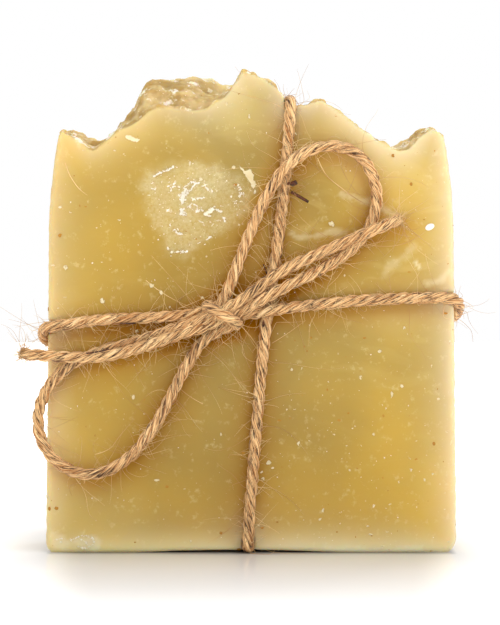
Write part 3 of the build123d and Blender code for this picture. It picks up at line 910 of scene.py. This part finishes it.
def soap_mesh():
    """Fine mesh of the bar with its relief, and the attributes that its material reads."""
    mesh = fine_copy("soap_bar")
    shape = bmesh.new()
    shape.from_mesh(mesh)
    shape.normal_update()
    crust_verts = [
        v for v in shape.verts if v.normal.z > 0.3 and v.co.z > 55 * MM and abs(v.co.y) < 11.9 * MM
    ]
    for _ in range(10):
        bmesh.ops.smooth_vert(
            shape, verts=crust_verts, factor=0.5, use_axis_x=True, use_axis_y=True, use_axis_z=True
        )
    shape.normal_update()
    shape.verts.ensure_lookup_table()

    twine_tree = search_tree(path)
    # the same points laid flat on the faces, for the stain and painted shadow of the twine
    stain_and_shadow_tree = search_tree([(point.x, min(max(point.y, -FACE), FACE), point.z) for point in path])
    runs = [(b - a).length / MM for a, b in zip(path, path[1:])] + [0.0]
    rim_tree = search_tree([v.co for v in shape.verts if abs(v.normal.y) < 0.55])

    marks = {name: [] for name in ("crust", "painted_rim_light", "ash", "smear", "tone_and_painted_light", "twine_stain_and_shadow", "speckle")}
    moves = []
    for vert in shape.verts:
        spot = vert.co.copy()
        normal = vert.normal.copy()
        across = spot.x / MM
        behind = (spot.y + FACE) / MM
        up = spot.z / MM
        top = step(0.15, 0.55, normal.z) * step(58 * MM, 63 * MM, spot.z)
        to_rim = rim_tree.find(spot)[2] / MM
        to_twine = twine_tree.find(spot)[2] / MM
        below_twine = stain_and_shadow_tree.find(spot + SHADE_SHIFT)[2] / MM
        patch = 0.0
        pale = 0.0
        crowd = 0.0
        if normal.y < -0.8:
            near = sum(runs[index] for _, index, _ in stain_and_shadow_tree.find_range(spot, CROWD_REACH))
            crowd = step(*CROWD_LENGTHS, near)
            ragged = noise.fractal(spot / (TEETH_SIZE * MM), 0.8, 2.1, 3) * TEETH_REACH
            patch = step(-1.2, 1.2, patch_depth(spot) + ragged)
            for half_width, strength, places in SMEARS:
                off = line_distance(spot, places) / half_width + ragged
                pale = max(pale, strength * (1 - step(0.1, 1.2, off)))
        # folds, curds and grain of the spooned top, which fade beside the twine
        fold = noise.ridged_multi_fractal(spot / (FOLD_SIZE * MM), 0.9, 2.1, 3, 0.9, 1.8)
        curd = noise.fractal(spot / (CURD_SIZE * MM), 0.7, 2.2, 3)
        grain = noise.noise(spot / (GRAIN_SIZE * MM))
        away = step(0.8, 3.0, to_twine)
        lift = top * away * (FOLD_HEIGHT * (fold - 1.0) + CURD_HEIGHT * curd + GRAIN_HEIGHT * grain)
        # cleft between the front edge and the lump behind it
        cleft = step(-23, -19, across) * (1 - step(-8, -4, across))
        cleft *= math.exp(-(((behind - CLEFT_BEHIND) / CLEFT_WIDTH) ** 2))
        lift -= CLEFT_DEPTH * top * cleft
        # the lump and the ridge behind it stand a little higher than the solid's
        rise = LUMP_RISE * top * step(-21, -16, across)
        lift += rise * (1 - step(-7, -3, across)) * step(2.5, 5.5, behind)
        # front and back edges of the cut are nibbled, and the faces hardly wave
        edge = (1 - step(0.0, 1.4, to_rim)) * (1 - top) * step(2.0, 4.0, up)
        lift += NIBBLE_DEPTH * edge * noise.fractal(spot / (NIBBLE_SIZE * MM), 0.8, 2.0, 2)
        lift += WAVE_HEIGHT * (1 - top) * noise.fractal(spot / (WAVE_SIZE * MM), 0.8, 2.0, 2)
        lift -= PATCH_SINK * patch
        moves.append(spot + normal * lift * MM)
        marks["crust"].append(top)
        # the painted rim light is paler on the right
        painted_rim_light = RIM_STRENGTH + RIM_GAIN * step(-20, 25, across)
        from_edge = to_rim + (min(behind, 2 * FACE / MM - behind) if abs(normal.y) < 0.55 else 0.0)
        marks["painted_rim_light"].append(painted_rim_light * math.exp(-max(from_edge, 0.0) / RIM_FADE))
        marks["speckle"].append(step(-4, 14, across) * (1 - step(24, 42, up)) * step(0.5, 0.9, -normal.y))
        marks["ash"].append(patch)
        marks["smear"].append(pale)
        shift = 0.0
        for x, z, half_x, half_z, amount in CLOUDS:
            shift += amount * math.exp(-(((across - x) / half_x) ** 2) - ((up - z) / half_z) ** 2)
        marks["tone_and_painted_light"].append(shift * math.exp(-((behind / 10) ** 2)))
        fade = STAIN_SHADOW_FADE + STAIN_SHADOW_GAIN * crowd
        marks["twine_stain_and_shadow"].append((0.6 + 0.4 * crowd) * math.exp(-max(below_twine - 1.0, 0.0) / fade))
    for vert, place in zip(shape.verts, moves):
        nearest, _, off = twine_tree.find(place)
        if off < BED * TWINE_RADIUS:
            place = nearest + (place - nearest).normalized() * BED * TWINE_RADIUS
        place.z = max(place.z - BASE_DROP * math.exp(-place.z / BASE_FADE), 0.0)
        vert.co = place
    shape.to_mesh(mesh)
    shape.free()
    for name, values in marks.items():
        mesh.attributes.new(name, "FLOAT", "POINT").data.foreach_set("value", values)
    mesh.name = "soap"
    return mesh


def soap_material():
    """Cured olive-oil soap, cut by wire: waxy, honey-coloured and translucent, paler where dry, with painted
    light where thin and painted shadow with the stain beside the twine.
    """
    material = bpy.data.materials.new("cured soap")
    add = empty_nodes(material)
    place = add("ShaderNodeTexCoord", output="Object")
    parts = add("ShaderNodeSeparateXYZ", {"Vector": place}).node.outputs
    crust, painted_rim_light, ash, smear, tone_and_painted_light, twine_stain_and_shadow = [
        add("ShaderNodeAttribute", output="Fac", attribute_name=name)
        for name in ("crust", "painted_rim_light", "ash", "smear", "tone_and_painted_light", "twine_stain_and_shadow")
    ]

    # clouds of 25 mm in the mix; paler towards both sides, painted light shining through the soap near its
    # edges
    clouds = add("ShaderNodeTexNoise", {"Vector": place, "Scale": 40.0, "Detail": 2.0})
    clouds = add(
        "ShaderNodeMapRange",
        {"Value": clouds, "From Min": 0.35, "From Max": 0.65, "To Min": -0.3, "To Max": 0.3},
    )
    middle = add("ShaderNodeMath", {0: parts["X"], 1: 2.0 * MM}, operation="SUBTRACT")
    sideways = add("ShaderNodeMath", {0: middle}, operation="ABSOLUTE")
    pale = add(
        "ShaderNodeMapRange",
        {"Value": sideways, "From Min": 8 * MM, "From Max": 36 * MM, "To Min": 0.2, "To Max": 0.75},
    )
    pale = add("ShaderNodeMath", {0: pale, 1: clouds}, operation="ADD")
    # deeper amber low in the middle
    low = add(
        "ShaderNodeMapRange",
        {"Value": parts["Z"], "From Min": 6 * MM, "From Max": 34 * MM, "To Min": 0.4, "To Max": 0.0},
    )
    inner = add(
        "ShaderNodeMapRange",
        {"Value": sideways, "From Min": 12 * MM, "From Max": 34 * MM, "To Min": 1.0, "To Max": 0.0},
    )
    deep = add("ShaderNodeMath", {0: low, 1: inner}, operation="MULTIPLY")
    # listed patches of tone and painted light and shade, deeper and paler
    deeper = add("ShaderNodeMapRange", {"Value": tone_and_painted_light, "From Min": 0.0, "From Max": -1.0})
    paler = add("ShaderNodeMapRange", {"Value": tone_and_painted_light})
    # pale wisps of the stirred mix, 13 mm long and 5 mm wide, mostly at the upper right
    stirred = add(
        "ShaderNodeMapping", {"Vector": place, "Scale": (75.0, 75.0, 190.0), "Rotation": (0, -0.6, 0)}
    )
    wisps = add("ShaderNodeTexNoise", {"Vector": stirred, "Scale": 1.0, "Detail": 3.0, "Distortion": 1.4})
    wisps = add("ShaderNodeMapRange", {"Value": wisps, "From Min": 0.54, "From Max": 0.72, "To Max": 0.32})
    right = add(
        "ShaderNodeMapRange", {"Value": parts["X"], "From Min": -6 * MM, "From Max": 14 * MM, "To Min": 0.25}
    )
    upper = add(
        "ShaderNodeMapRange", {"Value": parts["Z"], "From Min": 26 * MM, "From Max": 46 * MM, "To Min": 0.2}
    )
    wisps = add("ShaderNodeMath", {0: wisps, 1: right}, operation="MULTIPLY")
    wisps = add("ShaderNodeMath", {0: wisps, 1: upper}, operation="MULTIPLY")
    # faint pale flecks of 1.3 mm
    flecks = add("ShaderNodeTexNoise", {"Vector": place, "Scale": 750.0, "Detail": 4.0, "Roughness": 0.7})
    flecks = add("ShaderNodeMapRange", {"Value": flecks, "From Min": 0.58, "From Max": 0.74, "To Max": 0.35})
    # stain and painted shadow beside the twine, deepest where it passes several times, and the painted light
    # of the thin rim
    stain_and_shadow = add("ShaderNodeMath", {0: twine_stain_and_shadow, 1: 0.95}, operation="MULTIPLY")
    crowded_stain_and_shadow = add(
        "ShaderNodeMapRange", {"Value": twine_stain_and_shadow, "From Min": 0.6, "From Max": 1.0, "To Max": 0.6}
    )
    painted_rim_mix = add("ShaderNodeMath", {0: painted_rim_light, 1: 0.85}, operation="MULTIPLY")
    # soda ash: a thin bloom of 0.5 mm spots that is uneven every 6 mm, with flakes of 2 mm in its middle
    bloom = add("ShaderNodeTexNoise", {"Vector": place, "Scale": 2200.0, "Detail": 4.0, "Roughness": 0.7})
    bloom = add(
        "ShaderNodeMapRange",
        {"Value": bloom, "From Min": 0.35, "From Max": 0.70, "To Min": 0.22, "To Max": 0.6},
    )
    uneven = add("ShaderNodeTexNoise", {"Vector": place, "Scale": 170.0, "Detail": 2.0})
    uneven = add("ShaderNodeMapRange", {"Value": uneven, "From Min": 0.35, "From Max": 0.65, "To Min": 0.55})
    bloom = add("ShaderNodeMath", {0: bloom, 1: uneven}, operation="MULTIPLY")
    bloom = add("ShaderNodeMath", {0: bloom, 1: ash}, operation="MULTIPLY")
    core = add(
        "ShaderNodeVectorMath",
        {0: place, 1: (-10.5 * MM, -FACE, 58.8 * MM)},
        output="Value",
        operation="DISTANCE",
    )
    core = add(
        "ShaderNodeMapRange",
        {"Value": core, "From Min": 2.5 * MM, "From Max": 8.5 * MM, "To Min": 0.08, "To Max": 0.0},
    )
    flakes = add(
        "ShaderNodeTexNoise",
        {"Vector": place, "Scale": 520.0, "Detail": 5.0, "Roughness": 0.72, "Distortion": 0.6},
    )
    flakes = add("ShaderNodeMath", {0: flakes, 1: core}, operation="ADD")
    flakes = add("ShaderNodeMapRange", {"Value": flakes, "From Min": 0.66, "From Max": 0.72})
    flakes = add("ShaderNodeMath", {0: flakes, 1: ash}, operation="MULTIPLY")
    # crust of the top: drier, greyer, in spots of 4 mm, but its back half stayed moist and yellow
    dry = add("ShaderNodeTexNoise", {"Vector": place, "Scale": 260.0, "Detail": 3.0, "Roughness": 0.6})
    dry = add("ShaderNodeMapRange", {"Value": dry, "From Min": 0.42, "From Max": 0.62})
    moist = add("ShaderNodeMapRange", {"Value": parts["Y"], "From Min": -4 * MM, "From Max": 7 * MM})
    crust_colour = linear("#AF9056")
    for factor, code in ((dry, "#D2B884"), (moist, "#ECD69E")):
        crust_colour = add(
            "ShaderNodeMix", {"Factor": factor, "A": crust_colour, "B": linear(code)}, data_type="RGBA"
        )
    # white crust on part of the front half, in patches of 3 mm
    white = add("ShaderNodeTexNoise", {"Vector": place, "Scale": 330.0, "Detail": 5.0, "Roughness": 0.65})
    white = add("ShaderNodeMapRange", {"Value": white, "From Min": 0.55, "From Max": 0.62, "To Max": 0.9})
    dried = add("ShaderNodeMath", {0: crust, 1: moist}, operation="SUBTRACT", use_clamp=True)
    white = add("ShaderNodeMath", {0: white, 1: dried}, operation="MULTIPLY")
    # each colour lies over the ones before it
    colour = linear("#A48B45")
    for factor, over in (
        (pale, linear("#D4AE42")),
        (deep, linear("#B0882C")),
        (deeper, linear("#8E7028")),
        (paler, linear("#EBD58C")),
        (wisps, linear("#DEC880")),
        (flecks, linear("#E6D8A2")),
        (stain_and_shadow, linear("#A06400")),
        (crowded_stain_and_shadow, linear("#865200")),
        (painted_rim_mix, linear("#E4DCC2")),
        (smear, linear("#E9DFBA")),
        (bloom, linear("#E3D8B2")),
        (flakes, linear("#FBF7EE")),
        (crust, crust_colour),
        (white, linear("#F2EAD6")),
    ):
        colour = add("ShaderNodeMix", {"Factor": factor, "A": colour, "B": over}, data_type="RGBA")
    # grain of 0.6 mm, and drag marks of the wire 8 mm long and 0.9 mm wide
    fine = add("ShaderNodeTexNoise", {"Vector": place, "Scale": 1600.0, "Detail": 3.0})
    drag = add(
        "ShaderNodeMapping", {"Vector": place, "Scale": (120.0, 120.0, 1100.0), "Rotation": (0, 0.5, 0)}
    )
    drag = add("ShaderNodeTexNoise", {"Vector": drag, "Scale": 1.0, "Detail": 2.0})
    relief = add("ShaderNodeMath", {0: fine, 1: 0.4, 2: drag}, operation="MULTIPLY_ADD")
    bump = add("ShaderNodeBump", {"Height": relief, "Strength": 0.18, "Distance": 0.1 * MM})
    rough = add("ShaderNodeMath", {0: ash, 1: crust}, operation="MAXIMUM")
    rough = add("ShaderNodeMapRange", {"Value": rough, "To Min": 0.42, "To Max": 0.8})
    # the soap is dull where the twine's stain and painted shadow lie
    gloss = add("ShaderNodeMapRange", {"Value": twine_stain_and_shadow, "To Min": 0.22, "To Max": 0.0})
    shader = add(
        "ShaderNodeBsdfPrincipled",
        {
            "Base Color": colour,
            "Roughness": rough,
            "Normal": bump,
            "IOR": 1.46,
            "Specular IOR Level": gloss,
            "Subsurface Weight": 0.7,
            "Subsurface Radius": (1.0, 0.62, 0.22),
            "Subsurface Scale": 4.0 * MM,
        },
    )
    add("ShaderNodeOutputMaterial", {"Surface": shader})
    return material


def dented(add, geometry, depth):
    """Gives a geometry dents of 0.2 mm, and keeps its points from going under the floor."""
    place = add("GeometryNodeInputPosition")
    dent = add("ShaderNodeTexNoise", {"Vector": place, "Scale": 5000.0, "Detail": 1.0}, output="Color")
    dent = add("ShaderNodeVectorMath", {0: dent, 1: (0.5,) * 3}, operation="SUBTRACT")
    dent = add("ShaderNodeVectorMath", {0: dent, "Scale": depth}, operation="SCALE")
    geometry = add("GeometryNodeSetPosition", {"Geometry": geometry, "Offset": dent})
    parts = add("ShaderNodeSeparateXYZ", {"Vector": place}).node.outputs
    height = add("ShaderNodeMath", {0: parts["Z"], 1: 0.0}, operation="MAXIMUM")
    kept = add("ShaderNodeCombineXYZ", {"X": parts["X"], "Y": parts["Y"], "Z": height})
    return add("GeometryNodeSetPosition", {"Geometry": geometry, "Position": kept})


def crumbs_tree():
    """Crumbs strewn over the bar, thick on its ash patch and its crust and thin elsewhere."""
    tree, given, add = geometry_tree(
        "soap crumbs",
        (
            "Density",
            "Ash Density",
            "Crust Density",
            "Speckle Density",
            "Smallest",
            "Largest",
            "Flatness",
            "Raggedness",
        ),
        ("Detail", "Seed"),
    )
    density = given["Density"]
    for name in ("Ash", "Crust", "Speckle"):
        mark = add("GeometryNodeInputNamedAttribute", {"Name": name.lower()})
        density = add(
            "ShaderNodeMath", {0: mark, 1: given[name + " Density"], 2: density}, operation="MULTIPLY_ADD"
        )
    spots = add(
        "GeometryNodeDistributePointsOnFaces",
        {"Mesh": given["Geometry"], "Density": density, "Seed": given["Seed"]},
    )
    turn = spots.node.outputs["Rotation"]
    size = uneven_size(add, 2, 4.0, given["Smallest"], given["Largest"])
    shape = add(
        "FunctionNodeRandomValue",
        {"Min": (0.35, 0.35, 0.3), "Max": (1.5, 1.4, 0.6), "Seed": 4},
        data_type="FLOAT_VECTOR",
    )
    flat = add("ShaderNodeCombineXYZ", {"X": 1.0, "Y": 1.0, "Z": given["Flatness"]})
    shape = add("ShaderNodeVectorMath", {0: shape, 1: flat}, operation="MULTIPLY")
    size = add("ShaderNodeVectorMath", {0: shape, "Scale": size}, operation="SCALE")
    crumb = add("GeometryNodeMeshIcoSphere", {"Radius": 1.0, "Subdivisions": given["Detail"]})
    crumbs = add(
        "GeometryNodeInstanceOnPoints", {"Points": spots, "Instance": crumb, "Rotation": turn, "Scale": size}
    )
    crumbs = add("GeometryNodeRealizeInstances", {"Geometry": crumbs})
    crumbs = dented(add, crumbs, given["Raggedness"])
    crumbs = add("GeometryNodeSetShadeSmooth", {"Geometry": crumbs, "Shade Smooth": False})
    crumbs = add("GeometryNodeSetMaterial", {"Geometry": crumbs, "Material": given["Material"]})
    add("NodeGroupOutput", {"Geometry": crumbs})
    return tree


# Crusts of soda ash on the front face: half width, then places along each one, across and up, in mm
ASH_CRUSTS = (
    # tall crust, its arms and the thin arc to its right
    (0.34, ((-10.9, 60.3), (-11.1, 59.7), (-11.5, 58.8), (-11.3, 57.8))),
    (0.30, ((-10.8, 60.0), (-11.3, 58.9), (-11.2, 58.0), (-11.5, 57.0))),
    (0.28, ((-11.3, 57.8), (-11.6, 56.8), (-11.4, 56.0), (-10.7, 55.8))),
    (0.22, ((-11.1, 59.2), (-11.5, 58.2), (-11.5, 56.6), (-11.6, 55.9))),
    (0.20, ((-10.8, 60.2), (-11.1, 59.4), (-11.4, 58.4), (-11.3, 57.6))),
    (0.20, ((-11.4, 58.4), (-11.5, 57.2), (-11.5, 56.2), (-11.2, 55.6))),
    (0.24, ((-11.2, 58.6), (-11.4, 57.4), (-11.3, 56.2), (-11.0, 55.7))),
    (0.18, ((-10.5, 59.9), (-10.9, 59.2), (-11.1, 58.4))),
    (0.16, (
        (-11.9, 60.4), (-11.4, 60.1), (-10.9, 60.3), (-10.4, 60.9), (-9.6, 61.2), (-9.2, 61.0),
        (-8.6, 61.1),
    )),
    (0.10, ((-8.6, 61.1), (-7.8, 60.9), (-7.3, 60.1), (-6.9, 59.7))),
    (0.14, ((-9.9, 60.0), (-10.3, 59.7), (-10.7, 59.2), (-11.1, 58.6))),
    (0.12, ((-9.2, 60.9), (-9.6, 60.4), (-9.9, 59.9))),
    (0.14, ((-11.3, 57.3), (-10.7, 57.0), (-10.2, 57.2), (-10.0, 57.5))),
    # arcs to its upper left
    (0.10, ((-11.9, 60.4), (-12.7, 60.6), (-13.1, 61.2), (-13.1, 62.0))),
    (0.08, ((-12.6, 60.5), (-13.3, 60.3), (-13.2, 59.8))),
    (0.12, (
        (-16.4, 60.9), (-16.1, 62.0), (-15.5, 62.6), (-14.8, 62.8), (-13.6, 63.3), (-12.7, 63.9),
        (-12.2, 63.6),
    )),
    (0.12, ((-16.6, 60.2), (-16.0, 60.0), (-15.7, 60.3))),
    # small ones to its right
    (0.08, ((-9.8, 58.8), (-9.6, 58.1))),
    (0.07, ((-8.9, 58.5), (-8.2, 58.6))),
    (0.07, ((-8.0, 58.5), (-7.4, 58.8), (-7.0, 59.1))),
    (0.08, ((-8.8, 57.5), (-8.2, 57.0))),
    (0.08, ((-8.9, 56.3), (-8.4, 56.7), (-7.9, 56.4))),
    (0.16, ((-7.8, 56.0), (-7.2, 56.3), (-6.6, 56.8), (-6.0, 57.2))),
    (0.12, ((-6.6, 56.8), (-5.8, 56.6), (-5.0, 56.3))),
    (0.10, ((-7.7, 55.9), (-6.7, 55.6))),
    (0.12, ((-5.0, 55.5), (-4.5, 55.3), (-4.3, 54.7))),
    # loose scatter beside the pointed flake
    (0.55, ((-2.3, 61.0), (-1.9, 60.0), (-1.7, 59.3), (-2.0, 58.5), (-2.8, 57.7))),
    # lower edge of the ash patch
    (0.10, ((-14.0, 50.4), (-13.3, 49.6), (-11.8, 49.7), (-9.9, 49.7))),
    (0.05, ((-9.0, 51.0), (-8.4, 51.3))),
    (0.05, ((-7.4, 51.7), (-6.6, 52.3))),
    (0.30, ((-13.4, 54.2), (-12.9, 53.4), (-12.5, 53.0), (-11.2, 52.5))),
    # smear in the lower left corner
    (0.30, ((-31.4, 1.6), (-30.0, 2.0))),
    (0.06, (
        (-32.6, 2.0), (-31.0, 2.4), (-29.6, 2.1), (-28.6, 2.6), (-27.2, 2.8), (-26.2, 2.4),
        (-25.9, 1.7),
    )),
    (0.06, ((-26.1, 1.4), (-26.9, 0.9), (-27.6, 0.7), (-28.6, 1.0))),
    (0.05, ((-28.4, 2.3), (-27.4, 1.8), (-27.0, 1.3))),
)

# Larger flakes of soda ash and of dry soap, the outline of each, across and up, in mm
ASH_FLAKES = (
    # one to the right of the tall crust
    (
        (-7.8, 55.8), (-7.4, 56.2), (-6.9, 56.4), (-6.4, 56.9), (-6.1, 56.7), (-6.5, 56.2), (-7.0, 55.9),
        (-7.3, 55.6),
    ),
)
SOAP_FLAKES = (
    # pointed one at the patch's right
    (
        (-2.1, 64.0), (-1.3, 63.3), (-0.9, 63.1), (0.0, 63.4), (0.1, 62.7), (0.5, 62.4), (0.3, 61.8),
        (0.8, 60.9), (0.4, 60.1), (0.0, 60.6), (-0.6, 61.7), (-1.2, 62.7),
    ),
    # chip below the lump
    (
        (-20.9, 68.7), (-20.4, 69.0), (-19.9, 68.9), (-19.3, 68.5), (-18.4, 68.3), (-18.6, 67.9),
        (-19.4, 67.9), (-20.2, 68.2),
    ),
)
# Flakes: how far their backs are sunk and the size and reach of their edges' teeth, in mm, the seed of the
# teeth, and how thick the flakes are
FLAKE_SINK = -0.12
FLAKE_TEETH = 0.22
FLAKE_WANDER = 0.2
FLAKE_SEED = 5
FLAKE_THICKNESS = 0.2 * MM


def flakes_mesh(name, outlines):
    """Thin flakes with given outlines and ragged edges, stuck to the front face."""
    noise.seed_set(FLAKE_SEED)
    shape = bmesh.new()
    for outline in outlines:
        ragged = []
        for (ax, az), (bx, bz) in zip(outline, outline[1:] + outline[:1]):
            for share in (0.0, 0.25, 0.5, 0.75):
                x = ax + (bx - ax) * share
                z = az + (bz - az) * share
                wander = noise.noise_vector(Vector((x, z, 0)) / FLAKE_TEETH) * FLAKE_WANDER
                ragged.append(shape.verts.new(on_front(x + wander.x, z + wander.y, FLAKE_SINK)))
        shape.faces.new(ragged)
    raised = bmesh.ops.extrude_face_region(shape, geom=shape.faces[:])
    front = [item for item in raised["geom"] if isinstance(item, bmesh.types.BMVert)]
    bmesh.ops.translate(shape, verts=front, vec=(0, -FLAKE_THICKNESS, 0))
    bmesh.ops.triangulate(shape, faces=shape.faces[:])
    bmesh.ops.recalc_face_normals(shape, faces=shape.faces[:])
    mesh = bpy.data.meshes.new(name)
    shape.to_mesh(mesh)
    shape.free()
    return mesh


def crust_lines():
    """Mesh of the lines that the crusts follow, with their widths."""
    spots = []
    edges = []
    widths = []
    for half_width, places in ASH_CRUSTS:
        start = len(spots)
        spots += [on_front(x, z, 0.0) for x, z in places]
        edges += [(i, i + 1) for i in range(start, len(spots) - 1)]
        widths += [half_width * MM] * len(places)
    mesh = bpy.data.meshes.new("crust lines")
    mesh.from_pydata(spots, edges, [])
    mesh.attributes.new("half_width", "FLOAT", "POINT").data.foreach_set("value", widths)
    return mesh


def crusts_tree():
    """Flakes heaped along lines, as wide as each line says."""
    tree, given, add = geometry_tree("ash crusts", ("Step", "Smallest", "Largest", "Raggedness"), ())
    line = add("GeometryNodeMeshToCurve", {"Mesh": given["Geometry"]})
    spots = add("GeometryNodeCurveToPoints", {"Curve": line, "Length": given["Step"]}, mode="LENGTH")
    width = add("GeometryNodeInputNamedAttribute", {"Name": "half_width"})
    aside, shape, turn = [
        add("FunctionNodeRandomValue", {"Min": low, "Max": high, "Seed": seed}, data_type="FLOAT_VECTOR")
        for low, high, seed in (
            ((-1, 0, -1), (1, 0, 1), 1),
            ((0.5, 0.3, 0.5), (1.6, 0.5, 1.6), 4),
            ((0, -math.pi, 0), (0, math.pi, 0), 6),
        )
    ]
    aside = add("ShaderNodeVectorMath", {0: aside, "Scale": width}, operation="SCALE")
    stray = add("FunctionNodeRandomValue", {"Min": 0.0, "Max": 1.5, "Seed": 7}, data_type="FLOAT")
    stray = add("ShaderNodeMath", {0: stray, 1: 2.0}, operation="POWER")
    aside = add("ShaderNodeVectorMath", {0: aside, "Scale": stray}, operation="SCALE")
    spots = add("GeometryNodeSetPosition", {"Geometry": spots, "Offset": aside})
    # gaps every 1 mm or so
    place = add("GeometryNodeInputPosition")
    broken = add("ShaderNodeTexNoise", {"Vector": place, "Scale": 900.0, "Detail": 2.0})
    broken = add("FunctionNodeCompare", {"A": broken, "B": 0.42}, operation="LESS_THAN")
    spots = add("GeometryNodeDeleteGeometry", {"Geometry": spots, "Selection": broken})
    size = uneven_size(add, 2, 2.5, given["Smallest"], given["Largest"])
    size = add("ShaderNodeVectorMath", {0: shape, "Scale": size}, operation="SCALE")
    flake = add("GeometryNodeMeshIcoSphere", {"Radius": 1.0, "Subdivisions": 2})
    flakes = add(
        "GeometryNodeInstanceOnPoints", {"Points": spots, "Instance": flake, "Rotation": turn, "Scale": size}
    )
    flakes = add("GeometryNodeRealizeInstances", {"Geometry": flakes})
    flakes = dented(add, flakes, given["Raggedness"])
    flakes = add("GeometryNodeSetMaterial", {"Geometry": flakes, "Material": given["Material"]})
    add("NodeGroupOutput", {"Geometry": flakes})
    return tree


# Chalky soda ash and pale dry soap, matt, with chalkier and yellower crumbs that change every 3 mm
CHALKY = {
    "Roughness": 0.85,
    "Specular IOR Level": 0.2,
    "Subsurface Weight": 0.3,
    "Subsurface Radius": (1.0, 0.9, 0.7),
    "Subsurface Scale": 0.3 * MM,
}
CRUMB_PATTERN = {"Scale": 330.0, "Detail": 1.0}

soap = link_piece("soap", soap_mesh())
soap.data.materials.clear()
soap.data.materials.append(soap_material())
ash = mottled_material("soda ash", CRUMB_PATTERN, {}, "#ECDFBA", "#FFFCF4", CHALKY)
pale_soap = mottled_material("pale dry soap", CRUMB_PATTERN, {}, "#D2BE88", "#EEE4C6", CHALKY)
# Specks of dried petal in the mix: orange-brown, matt, lighter and darker every 4 mm
petal = mottled_material(
    "dried petal", {"Scale": 250.0, "Detail": 1.0}, {}, "#8E5E0C", "#CC9024", {"Roughness": 0.7}
)
STREWN = (
    # name, material, how many a square mm on plain faces, on the ash patch, on the crust and in the speckled
    # corner, smallest and largest radius in mm, flatness, dents in mm, how finely each is cut, seed
    ("soap_crumbs", pale_soap, (0.05, 0.0, 0.12, 0.12), (0.05, 0.40), 0.6, 0.6, 2, 5),
    ("ash_grains", ash, (0.16, 2.6, 0.3, 0.08), (0.03, 0.11), 0.6, 0.3, 1, 3),
    ("petal_specks", petal, (0.05, 0.0, 0.0, 0.02), (0.06, 0.30), 0.35, 0.25, 2, 9),
)
crumb_nodes = crumbs_tree()
crumbs, grains, specks = [
    grown_piece(
        name,
        soap.data.copy(),
        crumb_nodes,
        {
            "Density": counts[0] / MM**2,
            "Ash Density": counts[1] / MM**2,
            "Crust Density": counts[2] / MM**2,
            "Speckle Density": counts[3] / MM**2,
            "Smallest": radii[0] * MM,
            "Largest": radii[1] * MM,
            "Flatness": flatness,
            "Raggedness": dents * MM,
            "Detail": detail,
            "Seed": seed,
            "Material": material,
        },
    )
    for name, material, counts, radii, flatness, dents, detail, seed in STREWN
]
flakes = link_piece("ash_flakes", flakes_mesh("ash_flakes", ASH_FLAKES))
flakes.data.materials.append(ash)
soap_flakes = link_piece("soap_flakes", flakes_mesh("soap_flakes", SOAP_FLAKES))
soap_flakes.data.materials.append(pale_soap)
# Round drop of ash beyond the right tail
DROP_PLACE = Vector(on_front(29.5, 53.8, 0.05))
DROP_RADII = (0.8 * MM, 0.22 * MM, 0.52 * MM)
DROP_TURN = math.radians(-25)
drop_shape = bmesh.new()
bmesh.ops.create_icosphere(
    drop_shape,
    subdivisions=3,
    radius=1.0,
    matrix=Matrix.LocRotScale(DROP_PLACE, Euler((0, DROP_TURN, 0)), DROP_RADII),
)
drop_mesh = bpy.data.meshes.new("ash_drop")
drop_shape.to_mesh(drop_mesh)
drop_shape.free()
drop_mesh.materials.append(ash)
drop = link_piece("ash_drop", drop_mesh)
crusts = grown_piece(
    "ash_crusts",
    crust_lines(),
    crusts_tree(),
    {
        "Step": 0.05 * MM,
        "Smallest": 0.03 * MM,
        "Largest": 0.15 * MM,
        "Raggedness": 0.4 * MM,
        "Material": ash,
    },
)

for piece in (twine, fuzz, splinters, long_fibres):
    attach(piece, "root")
for piece in (soap, crumbs, grains, specks, crusts, flakes, soap_flakes, drop):
    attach(piece, "root")
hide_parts("soap_bar")
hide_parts("jute_twine")
